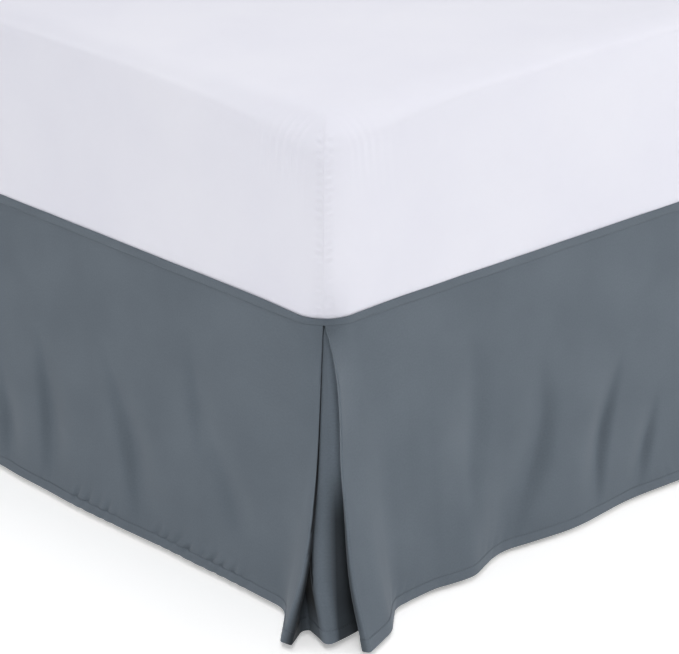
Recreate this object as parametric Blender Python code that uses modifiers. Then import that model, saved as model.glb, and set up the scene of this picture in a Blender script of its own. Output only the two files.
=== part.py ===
"""A bed skirt on a plain bed.

The skirt is a deck that lies between mattress and box spring, and three drops that hang from its
edge to just above the floor: one on each long side and one across the foot. The head end is open.
At each foot corner the cloth is laid in an inverted pleat, which is tight at the seam and opens
towards the hem. The mattress in its white fitted sheet, the box spring and a plain steel bed
frame are what the skirt fits over.

X runs across the bed, Y from the foot to the head and Z up, all in metres. The tables of the
cloth's folds are in millimetres from the bed's sharp foot corner.
"""

import math
from typing import NamedTuple

import bmesh
import bpy
from mathutils import Vector

MM = 0.001
GAP = 0.3 * MM

# The bed: a queen size, with a 15 inch drop under a 10 inch mattress.
BED_WIDTH = 1.524
BED_LENGTH = 2.032
CORNER_RADIUS = 45 * MM
BASE_TOP = 0.386
BASE_HEIGHT = 0.199
BASE_INSET = 10.5 * MM
BASE_EDGE = 10 * MM
MATTRESS_HEIGHT = 0.254
MATTRESS_TOP_EDGE = 40 * MM
MATTRESS_BOTTOM_EDGE = 4 * MM

# The cloth.
CLOTH = 1.2 * MM
DECK_INSET = 1.5 * MM
LIP_RADIUS = 3 * MM
LIP_DROP = 6 * MM
LIP_TURN = (30, 60, 90)
DROP_TOP = 0.3822
HEM_HEIGHT = 0.007

# The bed frame under the box spring.
RAIL_WIDTH = 40 * MM
RAIL_HEIGHT = 32 * MM
RAIL_LENGTH = 1.95
SIDE_RAIL_X = 0.69
CROSS_RAIL_Y = (-0.85, 0.0, 0.85)
LEG_RADIUS = 16 * MM
LEG_Y = 0.85
GLIDE_RADIUS = 24 * MM
GLIDE_HEIGHT = 14 * MM
EDGE_BEVEL = 2 * MM

# How finely round corners and edges are divided.
DECK_CORNER_STEPS = 10
CORNER_STEPS = 6
EDGE_STEPS = 4
BAR_EDGE_STEPS = 2
POST_STEPS = 20

# How finely the drops are divided. Rows stand closer at the seam and the hem, and columns stand
# closer on the parts that the photo shows.
ROWS = (0.0, 0.02, 0.08, 0.2, 0.35, 0.5, 0.64, 0.77, 0.89, 1.0)
NEAR_STEP = 14.0
FAR_STEP = 30.0
SIDE_NEAR_END = 680.0
FOOT_NEAR_END = 690.0
BEND_STEPS = 3
LONGEST_REACH = 0.9
SIDE_JOIN = 120.0
FOOT_JOIN = 130.0
FOOT_END = 1394.0
SIDE_END = 1984.0
FLARE_POWER = 1.4
SEAM_GAP = 0.5
SEAM_DEPTH = 0.02
SEAM_LINE = "side valley outside"
SECOND_PLEAT_OPENING = 0.9


class FoldLine(NamedTuple):
    """A crease of the corner pleat, as (x along the foot, y along the side) at four heights.

    The reach is how far the crease is rounded along the cloth on each side of it. The steps divide
    the flat cloth between the crease before and this one.
    """

    name: str
    top: tuple
    middle: tuple
    low: tuple
    hem: tuple
    reach_top: float
    reach_hem: float
    steps: int


class HemPoint(NamedTuple):
    """How far the hem stands out from the bed's side, at a distance from the foot corner."""

    along: float
    outward: float


class Ripple(NamedTuple):
    """A soft trough in a drop, from one share of its height to another.

    Its line bends through three places. It is steep towards the far end of the drop and falls away
    gently towards the foot corner.
    """

    line: tuple
    top: float
    bottom: float
    depth: float
    steep: float
    gentle: float


LEVELS = (0.0, 0.5, 0.8, 1.0)
RIPPLE_LEVELS = (0.0, 0.5, 1.0)

PLEAT = (
    FoldLine("side bend", (1.5, 27.5), (-3.4, 42), (-5.5, 52), (-8, 57.5), 18.4, 19, 2),
    FoldLine("side edge outside", (12.5, 14.7), (-10.8, 10), (-35, 5), (-68.5, 0), 1.7, 7.5, 3),
    FoldLine("side edge inside", (14.9, 17.1), (-7, 8), (-30.5, -1), (-66, -14.5), 1.7, 7.5, 0),
    FoldLine("side return", (4.5, 28.5), (-0.8, 37), (-17, 21), (-49, -5.5), 17, 6, 2),
    FoldLine("side valley outside", (4, 76), (0.8, 66), (-5, 42), (-33, 3.2), 1.7, 5.7, 2),
    FoldLine("side valley inside", (7.4, 76), (5, 66), (2.5, 41), (-22.5, -1), 1.7, 5.7, 0),
    FoldLine("underlay side", (7.9, 29.9), (3.2, 38), (-8, 20), (-28, -23), 15.9, 6, 2),
    FoldLine("underlay ridge", (18.4, 18.4), (0, 10.7), (-18, -1), (-36, -45.5), 2, 13, 2),
    FoldLine("underlay foot", (29.9, 7.9), (28, -6), (12, -24), (-7, -44), 15.9, 8, 2),
    FoldLine("foot valley inside", (76, 7.4), (66, 1), (45, -16), (23, -41), 1.7, 4.5, 2),
    FoldLine("foot valley outside", (76, 4), (66, -3.5), (43, -23), (18, -48.5), 1.7, 4.5, 0),
    FoldLine("foot return", (28.5, 4.5), (36, -15), (20, -34.5), (1.5, -65), 17, 6, 2),
    FoldLine("foot edge inside", (17.4, 14.6), (4.8, -26.5), (-3, -46), (-15, -83), 1.7, 4.2, 2),
    FoldLine("foot edge outside", (15, 12.2), (4.2, -31.5), (-0.5, -52), (-11, -90), 1.7, 4.2, 0),
    FoldLine("foot bend", (27.5, 1.5), (36, -28), (42, -47), (46, -71), 18.4, 12, 2),
    FoldLine("foot flare", (70, 0.6), (85, -12.5), (88, -21.5), (90, -29.5), 15, 14, 2),
)

SIDE_HEM = (
    HemPoint(SIDE_JOIN, 7.4),
    HemPoint(178, 8.0),
    HemPoint(255, 8.9),
    HemPoint(332, 10.6),
    HemPoint(409, 13.8),
    HemPoint(495, 12.5),
    HemPoint(584, 10.6),
    HemPoint(640, 7.6),
    HemPoint(730, 10.0),
    HemPoint(830, 14.0),
    HemPoint(930, 9.0),
    HemPoint(1050, 13.0),
    HemPoint(1180, 8.0),
    HemPoint(1320, 14.5),
    HemPoint(1450, 9.5),
    HemPoint(1600, 12.5),
    HemPoint(1740, 8.5),
    HemPoint(1880, 13.0),
    HemPoint(SIDE_END, 10.0),
)

SECOND_SIDE_HEM = (
    HemPoint(SIDE_JOIN, 8.0),
    HemPoint(230, 12.5),
    HemPoint(350, 8.5),
    HemPoint(470, 14.0),
    HemPoint(610, 10.0),
    HemPoint(760, 13.5),
    HemPoint(900, 8.0),
    HemPoint(1060, 12.0),
    HemPoint(1240, 9.0),
    HemPoint(1400, 14.5),
    HemPoint(1570, 9.5),
    HemPoint(1730, 12.5),
    HemPoint(1890, 8.5),
    HemPoint(SIDE_END, 10.5),
)

FOOT_HEM = (
    HemPoint(FOOT_JOIN, 27.0),
    HemPoint(164, 26.7),
    HemPoint(188, 31.0),
    HemPoint(222, 34.0),
    HemPoint(248, 26.0),
    HemPoint(275, 16.5),
    HemPoint(304, 12.3),
    HemPoint(349, 18.4),
    HemPoint(394, 24.9),
    HemPoint(424, 26.0),
    HemPoint(479, 21.1),
    HemPoint(523, 18.0),
    HemPoint(565, 18.5),
    HemPoint(625, 22.2),
    HemPoint(700, 25.0),
    HemPoint(780, 17.0),
    HemPoint(870, 21.5),
    HemPoint(960, 14.0),
    HemPoint(1050, 22.0),
    HemPoint(1130, 27.0),
    HemPoint(1210, 18.0),
    HemPoint(1300, 22.5),
    HemPoint(FOOT_END, 24.5),
)

SIDE_RIPPLES = (
    Ripple((620, 619, 612), 0.58, 1.0, 5.5, 12, 28),
    Ripple((540, 527, 515), 0.34, 1.0, 6.0, 12, 34),
    Ripple((408, 360, 330), 0.32, 1.0, 6.5, 12, 36),
    Ripple((236, 230, 212), 0.18, 0.64, 4.0, 12, 30),
    Ripple((212, 170, 140), 0.46, 0.86, 3.5, 14, 32),
    Ripple((880, 892, 905), 0.36, 1.0, 5.0, 24, 38),
    Ripple((1240, 1228, 1200), 0.30, 0.95, 5.0, 24, 38),
    Ripple((1660, 1672, 1700), 0.40, 1.0, 5.0, 24, 38),
)

SECOND_SIDE_RIPPLES = (
    Ripple((310, 322, 345), 0.34, 1.0, 5.0, 24, 38),
    Ripple((700, 688, 665), 0.30, 0.95, 4.5, 24, 38),
    Ripple((1150, 1162, 1180), 0.40, 1.0, 5.0, 24, 38),
    Ripple((1500, 1488, 1470), 0.35, 0.95, 4.5, 24, 38),
)

FOOT_RIPPLES = (
    Ripple((226, 247, 208), 0.06, 0.92, 7.0, 20, 36),
    Ripple((352, 366, 300), 0.26, 1.0, 7.5, 15, 34),
    Ripple((522, 484, 456), 0.38, 1.0, 6.5, 12, 30),
    Ripple((584, 570, 545), 0.60, 1.0, 5.5, 12, 26),
    Ripple((900, 912, 930), 0.30, 1.0, 5.5, 24, 38),
    Ripple((1230, 1218, 1200), 0.35, 1.0, 5.0, 24, 38),
)


def hermite(knots, values, at):
    """A smooth curve through the values at their knots, level beyond the first and the last."""
    if at <= knots[0]:
        return values[0]
    if at >= knots[-1]:
        return values[-1]
    last = len(knots) - 1
    index = max(i for i in range(last) if knots[i] <= at)

    def slope(i):
        low, high = max(i - 1, 0), min(i + 1, last)
        return (values[high] - values[low]) / (knots[high] - knots[low])

    width = knots[index + 1] - knots[index]
    t = (at - knots[index]) / width
    start, end = values[index], values[index + 1]
    rise, fall = slope(index) * width, slope(index + 1) * width
    blend = t * t * (3 - 2 * t)
    return start + (end - start) * blend + rise * t * (1 - t) ** 2 - fall * t * t * (1 - t)


def bell(distance, spread):
    """A soft hump of height 1 at distance 0."""
    return math.exp(-((distance / spread) ** 2))


def ripple_depth(ripple, along, down):
    """How far one trough pulls the cloth in at a place on a drop."""
    if not ripple.top < down < ripple.bottom:
        return 0.0
    share = (down - ripple.top) / (ripple.bottom - ripple.top)
    beyond = along - hermite(RIPPLE_LEVELS, ripple.line, share)
    width = ripple.steep if beyond > 0 else ripple.gentle
    return ripple.depth * math.sin(math.pi * share**1.3) ** 1.5 * bell(beyond, width)


def outward(hem, ripples, along, down):
    """How far a drop stands out from the bed's side, 0 at the seam and most at the hem."""
    stand = hermite([point.along for point in hem], [point.outward for point in hem], along)
    pull = sum(ripple_depth(ripple, along, down) for ripple in ripples)
    return stand * down**FLARE_POWER - pull


def crease_at(line, down, opening):
    """Where a crease of the pleat runs at one height. An opening under 1 keeps the pleat tighter."""
    levels = (line.top, line.middle, line.low, line.hem)
    below = max(0.0, down - SEAM_DEPTH) / (1.0 - SEAM_DEPTH)
    full = Vector([hermite(LEVELS, [level[axis] for level in levels], below) for axis in (0, 1)])
    return Vector(line.top).lerp(full, opening)


def along_leg(start, end, steps):
    """Points from start to end, without the first."""
    return [start.lerp(end, (i + 1) / steps) for i in range(steps)]


def around_bend(enter, corner, leave, steps):
    """Points along a soft bend that leaves one leg and meets the next, without the first."""
    points = []
    for i in range(steps):
        t = (i + 1) / steps
        points.append(enter.lerp(corner, t).lerp(corner.lerp(leave, t), t))
    return points


def fitted_reaches(stops, reaches):
    """The bends' reaches, shortened where two neighbours would meet on the leg between them."""
    fitted = list(reaches)
    for index in range(len(stops) - 1):
        leg = (stops[index + 1] - stops[index]).length * LONGEST_REACH
        sharing = [i for i in (index - 1, index) if 0 <= i < len(reaches)]
        total = sum(reaches[i] for i in sharing)
        for i in sharing:
            fitted[i] = min(fitted[i], reaches[i] * leg / max(total, leg))
    return fitted


def pleat_section(start, end, down, opening):
    """The pleat's line in plan at one height, and how many of its points lie on the side drop."""
    corners = [crease_at(line, down, opening) for line in PLEAT]
    stops = [start, *corners, end]
    reaches = [line.reach_top + (line.reach_hem - line.reach_top) * down for line in PLEAT]
    reaches = fitted_reaches(stops, reaches)
    points = [start]
    side_count = 0
    for line, reach, before, corner, after in zip(PLEAT, reaches, stops, corners, stops[2:]):
        enter = corner + (before - corner).normalized() * reach
        leave = corner + (after - corner).normalized() * reach
        points += along_leg(points[-1], enter, line.steps)
        if line.name == SEAM_LINE:
            side_count = len(points)
        points += around_bend(enter, corner, leave, BEND_STEPS)
    points += along_leg(points[-1], end, PLEAT[-1].steps)
    return points, side_count


def even_places(start, end, step):
    """Even distances from start to end, without the end."""
    steps = round((end - start) / step)
    return [start + (end - start) * i / steps for i in range(steps)]


def panel_places(start, near_end, end):
    """Distances along a straight drop with both ends, closer together up to near_end."""
    near = even_places(start, near_end, NEAR_STEP)
    return near + even_places(near_end, end, FAR_STEP) + [end]


def side_section(hem, ripples, near_end, down):
    """A side drop's line in corner coordinates, from the head end to the pleat."""
    places = reversed(panel_places(SIDE_JOIN, near_end, SIDE_END))
    inset = CLOTH / MM / 2
    return [Vector((inset - outward(hem, ripples, along, down), along)) for along in places]


def foot_section(down):
    """The foot drop's line between the two pleats, in the first corner's coordinates."""
    places = panel_places(FOOT_JOIN, FOOT_NEAR_END, FOOT_END)
    inset = CLOTH / MM / 2
    return [Vector((along, inset - outward(FOOT_HEM, FOOT_RIPPLES, along, down))) for along in places]


def mirrored(points):
    """The points seen from the other foot corner."""
    return [Vector((BED_WIDTH / MM - point.x, point.y)) for point in points]


def trimmed(points):
    """The points with the last drawn back, so that the seam's two edges stay apart."""
    return [*points[:-1], points[-1] + (points[-2] - points[-1]).normalized() * SEAM_GAP]


def skirt_sections(down):
    """The lines in plan of the first side drop, the foot drop and the second side drop."""
    side = side_section(SIDE_HEM, SIDE_RIPPLES, SIDE_NEAR_END, down)
    foot = foot_section(down)
    second = side_section(SECOND_SIDE_HEM, SECOND_SIDE_RIPPLES, SIDE_JOIN, down)
    foot_end = mirrored([foot[-1]])[0]
    pleat, cut = pleat_section(side[-1], foot[0], down, 1.0)
    other, other_cut = pleat_section(second[-1], foot_end, down, SECOND_PLEAT_OPENING)
    return (
        trimmed(side + pleat[1:cut]),
        pleat[cut - 1 :] + foot[1:-1] + mirrored(other[other_cut - 1 :])[::-1],
        mirrored(trimmed(second + other[1:other_cut])),
    )


def drop_surface(name, sections, material):
    """A drop as an open sheet through its sections, one for each row, thickened evenly."""
    columns = len(sections[0])
    bm = bmesh.new()
    bmesh.ops.create_grid(bm, x_segments=columns - 1, y_segments=len(ROWS) - 1, size=1.0)
    bmesh.ops.triangulate(bm, faces=bm.faces[:], quad_method="FIXED")
    for vert in bm.verts:
        column = round((vert.co.x + 1) / 2 * (columns - 1))
        row = round((1 - vert.co.y) / 2 * (len(ROWS) - 1))
        point = sections[row][column] * MM
        height = DROP_TOP + (HEM_HEIGHT - DROP_TOP) * ROWS[row]
        vert.co = (point.x - BED_WIDTH / 2, point.y - BED_LENGTH / 2, height)
    return thickened(mesh_object(name, bm, material))


def thickened(obj):
    """The object with its sheet given the cloth's thickness, half on each side."""
    shell = obj.modifiers.new("cloth thickness", "SOLIDIFY")
    shell.thickness = CLOTH
    shell.offset = 0.0
    shell.use_even_offset = True
    return obj


def mesh_object(name, bm, material):
    """A new object in the model's collection with the mesh that bm holds."""
    mesh = bpy.data.meshes.new(name)
    bm.to_mesh(mesh)
    bm.free()
    mesh.materials.append(material)
    obj = bpy.data.objects.new(name, mesh)
    bpy.data.collections["bed_skirt"].objects.link(obj)
    return obj


def principled(name, colour, roughness, metallic=0.0):
    """A plain material with the part's colour, roughness and metallic value."""
    material = bpy.data.materials.new(name)
    material.use_nodes = True
    shader = material.node_tree.nodes["Principled BSDF"]
    shader.inputs["Base Color"].default_value = (*colour, 1.0)
    shader.inputs["Roughness"].default_value = roughness
    shader.inputs["Metallic"].default_value = metallic
    return material


def outward_from(co, half_width, half_length, radius):
    """The direction straight out from a rounded rectangle at a point of its edge."""
    inner_x, inner_y = half_width - radius, half_length - radius
    nearest = Vector((max(-inner_x, min(inner_x, co.x)), max(-inner_y, min(inner_y, co.y))))
    return (co.xy - nearest).normalized()


def rounded_sheet(bm, width, length, height, radius):
    """A flat face with rounded corners."""
    bmesh.ops.create_grid(bm, x_segments=1, y_segments=1, size=0.5)
    bmesh.ops.scale(bm, vec=(width, length, 1.0), verts=bm.verts)
    bmesh.ops.translate(bm, vec=(0.0, 0.0, height), verts=bm.verts)
    steps = DECK_CORNER_STEPS
    bmesh.ops.bevel(
        bm, geom=bm.verts[:], offset=radius, segments=steps, profile=0.5, affect="VERTICES"
    )


def make_deck(material):
    """The deck: a flat sheet on the box spring, whose edge turns down over the drops' top edges."""
    width, length = BED_WIDTH - 2 * DECK_INSET, BED_LENGTH - 2 * DECK_INSET
    radius = CORNER_RADIUS - DECK_INSET
    middle = BASE_TOP + GAP + CLOTH / 2
    bm = bmesh.new()
    rounded_sheet(bm, width, length, middle, radius)
    turn = [math.radians(angle) for angle in LIP_TURN]
    lip = [(LIP_RADIUS * math.sin(a), LIP_RADIUS * (1 - math.cos(a))) for a in turn]
    lip.append((LIP_RADIUS, LIP_RADIUS + LIP_DROP))
    before = (0.0, 0.0)
    edges = bm.edges[:]
    for out, down in lip:
        made = bmesh.ops.extrude_edge_only(bm, edges=edges)["geom"]
        edges = [item for item in made if isinstance(item, bmesh.types.BMEdge)]
        for vert in [item for item in made if isinstance(item, bmesh.types.BMVert)]:
            way = outward_from(vert.co, width / 2 + before[0], length / 2 + before[0], radius)
            vert.co.xy += way * (out - before[0])
            vert.co.z -= down - before[1]
        before = (out, down)
        radius = CORNER_RADIUS - DECK_INSET + out
    bmesh.ops.recalc_face_normals(bm, faces=bm.faces)
    return thickened(mesh_object("platform", bm, material))


def soft_block(name, size, bottom, corner, edges, material):
    """A block with round upright corners and the radii of its top and bottom edges in edges."""
    bm = bmesh.new()
    bmesh.ops.create_cube(bm, size=1.0)
    bmesh.ops.scale(bm, vec=size, verts=bm.verts)
    bmesh.ops.translate(bm, vec=(0.0, 0.0, bottom + size[2] / 2), verts=bm.verts)
    upright = [e for e in bm.edges if abs(e.verts[0].co.z - e.verts[1].co.z) > size[2] / 2]
    bmesh.ops.bevel(
        bm, geom=upright, offset=corner, segments=CORNER_STEPS, profile=0.5, affect="EDGES"
    )
    for height, radius in zip((bottom + size[2], bottom), edges):
        rim = [e for e in bm.edges if all(abs(v.co.z - height) < GAP for v in e.verts)]
        bmesh.ops.bevel(
            bm, geom=rim, offset=radius, segments=EDGE_STEPS, profile=0.5, affect="EDGES"
        )
    return mesh_object(name, bm, material)


def bar(name, size, centre, material):
    """A straight bar with slightly rounded edges."""
    bm = bmesh.new()
    bmesh.ops.create_cube(bm, size=1.0)
    bmesh.ops.scale(bm, vec=size, verts=bm.verts)
    obj = mesh_object(name, bm, material)
    obj.location = centre
    bevel = obj.modifiers.new("rounded edges", "BEVEL")
    bevel.width = EDGE_BEVEL
    bevel.segments = BAR_EDGE_STEPS
    return obj


def post(name, radius, bottom, top, place, material):
    """An upright round post."""
    bm = bmesh.new()
    depth = top - bottom
    bmesh.ops.create_cone(
        bm, cap_ends=True, segments=POST_STEPS, radius1=radius, radius2=radius, depth=depth
    )
    obj = mesh_object(name, bm, material)
    obj.location = (*place, (top + bottom) / 2)
    return obj


def make_frame(steel, plastic):
    """Two side rails, three cross rails between them, and six legs on glides."""
    rail_top = BASE_TOP - BASE_HEIGHT - GAP
    height = rail_top - RAIL_HEIGHT / 2
    for name, x in (("left", -SIDE_RAIL_X), ("right", SIDE_RAIL_X)):
        bar(f"side_rail_{name}", (RAIL_WIDTH, RAIL_LENGTH, RAIL_HEIGHT), (x, 0.0, height), steel)
    span = 2 * SIDE_RAIL_X - RAIL_WIDTH - 2 * GAP
    for name, y in zip(("foot", "middle", "head"), CROSS_RAIL_Y):
        bar(f"cross_rail_{name}", (span, RAIL_WIDTH, RAIL_HEIGHT), (0.0, y, height), steel)
    for side, x in (("left", -SIDE_RAIL_X), ("middle", 0.0), ("right", SIDE_RAIL_X)):
        for end, y in (("foot", -LEG_Y), ("head", LEG_Y)):
            leg_top = rail_top - RAIL_HEIGHT - GAP
            post(f"leg_{side}_{end}", LEG_RADIUS, GLIDE_HEIGHT + GAP, leg_top, (x, y), steel)
            post(f"glide_{side}_{end}", GLIDE_RADIUS, 0.0, GLIDE_HEIGHT, (x, y), plastic)


def centre_on_floor(objects):
    """Moves everything sideways so that the whole object's box is centred on the origin."""
    bpy.context.view_layer.update()
    graph = bpy.context.evaluated_depsgraph_get()
    corners = []
    for obj in objects:
        evaluated = obj.evaluated_get(graph)
        corners += [obj.matrix_world @ Vector(corner) for corner in evaluated.bound_box]
    for axis in (0, 1):
        places = [corner[axis] for corner in corners]
        shift = (min(places) + max(places)) / 2
        for obj in objects:
            obj.location[axis] -= shift


def clear_scene():
    """Removes what the startup scene holds."""
    for obj in list(bpy.data.objects):
        bpy.data.objects.remove(obj, do_unlink=True)


def main():
    """Builds the bed from the floor up, and the skirt over it."""
    clear_scene()
    parts = bpy.data.collections.new("bed_skirt")
    bpy.context.scene.collection.children.link(parts)

    microfibre = principled("slate grey microfibre", (0.135, 0.153, 0.176), 0.85)
    sheeting = principled("white cotton sheeting", (0.80, 0.80, 0.86), 0.9)
    ticking = principled("off-white ticking", (0.62, 0.60, 0.56), 0.9)
    steel = principled("black painted steel", (0.02, 0.02, 0.022), 0.45)
    plastic = principled("dark grey plastic", (0.05, 0.05, 0.05), 0.5)

    make_frame(steel, plastic)
    base_size = (BED_WIDTH - 2 * BASE_INSET, BED_LENGTH - 2 * BASE_INSET, BASE_HEIGHT)
    base_bottom = BASE_TOP - BASE_HEIGHT
    base_corner = CORNER_RADIUS - BASE_INSET
    base_edges = (BASE_EDGE, BASE_EDGE)
    soft_block("box_spring", base_size, base_bottom, base_corner, base_edges, ticking)
    make_deck(microfibre)
    mattress_size = (BED_WIDTH, BED_LENGTH, MATTRESS_HEIGHT)
    mattress_bottom = BASE_TOP + 2 * GAP + CLOTH
    mattress_edges = (MATTRESS_TOP_EDGE, MATTRESS_BOTTOM_EDGE)
    soft_block("mattress", mattress_size, mattress_bottom, CORNER_RADIUS, mattress_edges, sheeting)

    drops = zip(*(skirt_sections(down) for down in ROWS))
    for name, sections in zip(("side_drop_left", "foot_drop", "side_drop_right"), drops):
        drop_surface(name, sections, microfibre)
    centre_on_floor(list(parts.objects))


main()
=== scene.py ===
"""Looks for a bed skirt on a plain bed.

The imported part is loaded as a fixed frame. The skirt's cloth, the mattress in its fitted sheet and
the box spring are made again here with their sewing, puckers and soft edges, and stand for their
plain solids. The steel frame and its glides keep their solids and get finishes.

Lengths are in metres. The tables of folds are in millimetres from the bed's sharp foot corner: x
along the foot and y along the side.
"""

import logging
import math
from dataclasses import dataclass
from enum import Enum

import bmesh
import bpy
from mathutils import Matrix, Vector, noise


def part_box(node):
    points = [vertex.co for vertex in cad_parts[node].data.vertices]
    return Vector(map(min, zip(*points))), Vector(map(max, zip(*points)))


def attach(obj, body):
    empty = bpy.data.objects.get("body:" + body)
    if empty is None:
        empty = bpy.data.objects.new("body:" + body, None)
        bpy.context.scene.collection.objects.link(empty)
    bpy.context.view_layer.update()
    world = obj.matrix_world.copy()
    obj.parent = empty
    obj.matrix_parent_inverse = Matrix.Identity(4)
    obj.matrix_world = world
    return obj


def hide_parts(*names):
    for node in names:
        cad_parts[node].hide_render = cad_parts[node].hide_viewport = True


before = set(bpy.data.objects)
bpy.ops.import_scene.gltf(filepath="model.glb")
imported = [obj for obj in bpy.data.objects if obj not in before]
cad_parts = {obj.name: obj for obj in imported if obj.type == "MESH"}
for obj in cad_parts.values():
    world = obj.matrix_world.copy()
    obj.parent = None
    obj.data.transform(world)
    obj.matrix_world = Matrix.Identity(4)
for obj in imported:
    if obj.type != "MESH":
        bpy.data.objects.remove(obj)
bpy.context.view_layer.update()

MM = 0.001
LOG = logging.getLogger("bed skirt")

Point = tuple[float, float]


class Slot(Enum):
    """The record's material slots of the pieces that are made here."""

    CLOTH = "skirt_microfibre"
    SHEET = "mattress_sheeting"
    TICKING = "box_spring_ticking"


class Hold(Enum):
    """How a sheet of cloth is held."""

    HUNG = "hung"
    STRETCHED = "stretched"


# Small helpers


def linear(colour: str, alpha: float = 1.0) -> tuple[float, float, float, float]:
    """Turns an sRGB hex colour into linear light.

    Args:
        colour: The colour as "#RRGGBB".
        alpha: Its opacity.

    Returns:
        The red, green, blue and alpha that a shader socket takes.
    """
    parts = [int(colour[i : i + 2], 16) / 255 for i in (1, 3, 5)]
    light = [c / 12.92 if c <= 0.04045 else ((c + 0.055) / 1.055) ** 2.4 for c in parts]
    return (light[0], light[1], light[2], alpha)


def add_node(
    tree: bpy.types.NodeTree,
    kind: str,
    settings: dict | None = None,
    links: dict | None = None,
) -> bpy.types.Node:
    """Adds a node with its settings and links.

    Args:
        tree: The node tree.
        kind: The node's type, without its ShaderNode prefix.
        settings: Values by input name or index, or by property name.
        links: Output sockets by input name or index.

    Returns:
        The new node.
    """
    node = tree.nodes.new("ShaderNode" + kind)
    for key, value in (settings or {}).items():
        if isinstance(key, int) or key in node.inputs:
            node.inputs[key].default_value = value
        else:
            setattr(node, key, value)
    for key, socket in (links or {}).items():
        tree.links.new(socket, node.inputs[key])
    return node


def new_material(name: str) -> tuple[bpy.types.Material, bpy.types.Node]:
    """Makes an empty material.

    Args:
        name: The finish's name.

    Returns:
        The material and its Principled shader, which is linked to the output.
    """
    material = bpy.data.materials.new(name)
    material.use_nodes = True
    return material, material.node_tree.nodes["Principled BSDF"]


def bell(distance: float, spread: float) -> float:
    """A soft hump of height 1 at distance 0."""
    return math.exp(-((distance / spread) ** 2))


def smooth(low: float, high: float, at: float) -> float:
    """A soft step from 0 at low to 1 at high."""
    t = min(1.0, max(0.0, (at - low) / (high - low)))
    return t * t * (3 - 2 * t)


def hermite(knots: list[float], values: list[float], at: float, start: float = 1.0) -> float:
    """Reads a smooth curve through the values at their knots, level beyond both ends.

    Args:
        knots: Rising places.
        values: The value at each place.
        at: Where to read the curve.
        start: How much steeper than plain the curve leaves its first knot.

    Returns:
        The value there.
    """
    if at <= knots[0]:
        return values[0]
    if at >= knots[-1]:
        return values[-1]
    last = len(knots) - 1
    index = max(i for i in range(last) if knots[i] <= at)

    def slope(i: int) -> float:
        """The curve's slope at knot i."""
        low, high = max(i - 1, 0), min(i + 1, last)
        steepness = start if i == 0 else 1.0
        return steepness * (values[high] - values[low]) / (knots[high] - knots[low])

    width = knots[index + 1] - knots[index]
    t = (at - knots[index]) / width
    here, there = values[index], values[index + 1]
    rise, fall = slope(index) * width, slope(index + 1) * width
    blend = t * t * (3 - 2 * t)
    return here + (there - here) * blend + rise * t * (1 - t) ** 2 - fall * t * t * (1 - t)


def paint_shade_and_highlight(
    tree: bpy.types.NodeTree, colour: bpy.types.NodeSocket, deepest: float
) -> bpy.types.NodeSocket:
    """Paints shade and highlight into a colour by how deep in a pleat the cloth lies.

    Args:
        tree: The node tree.
        colour: The colour out in the open.
        deepest: What is left of it where the piece's pleat_painted_shade is 1.

    Returns:
        The shaded colour.
    """
    # Painted shade: at 1 only the deepest share of the colour is left, and below 0 it is made paler, a
    # painted highlight
    depth = add_node(tree, "Attribute", {"attribute_name": "pleat_painted_shade"})
    left = add_node(
        tree,
        "MapRange",
        {"clamp": False, "To Min": 1.0, "To Max": deepest},
        {0: depth.outputs["Fac"]},
    )
    shaded = add_node(
        tree, "VectorMath", {"operation": "SCALE"}, {0: colour, "Scale": left.outputs[0]}
    )
    return shaded.outputs[0]


def finished_piece(
    name: str, bm: bmesh.types.BMesh, material: bpy.types.Material
) -> bpy.types.Object:
    """Makes a smooth object that rides on the bed.

    Args:
        name: The piece's name.
        bm: Its mesh, which is freed.
        material: Its finish.

    Returns:
        The object, at the origin.
    """
    mesh = bpy.data.meshes.new(name)
    bm.to_mesh(mesh)
    bm.free()
    mesh.materials.append(material)
    mesh.shade_smooth()
    obj = bpy.data.objects.new(name, mesh)
    bpy.context.scene.collection.objects.link(obj)
    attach(obj, "root")
    LOG.info("%s: %d faces", name, len(mesh.polygons))
    return obj


# Finishes


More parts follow.
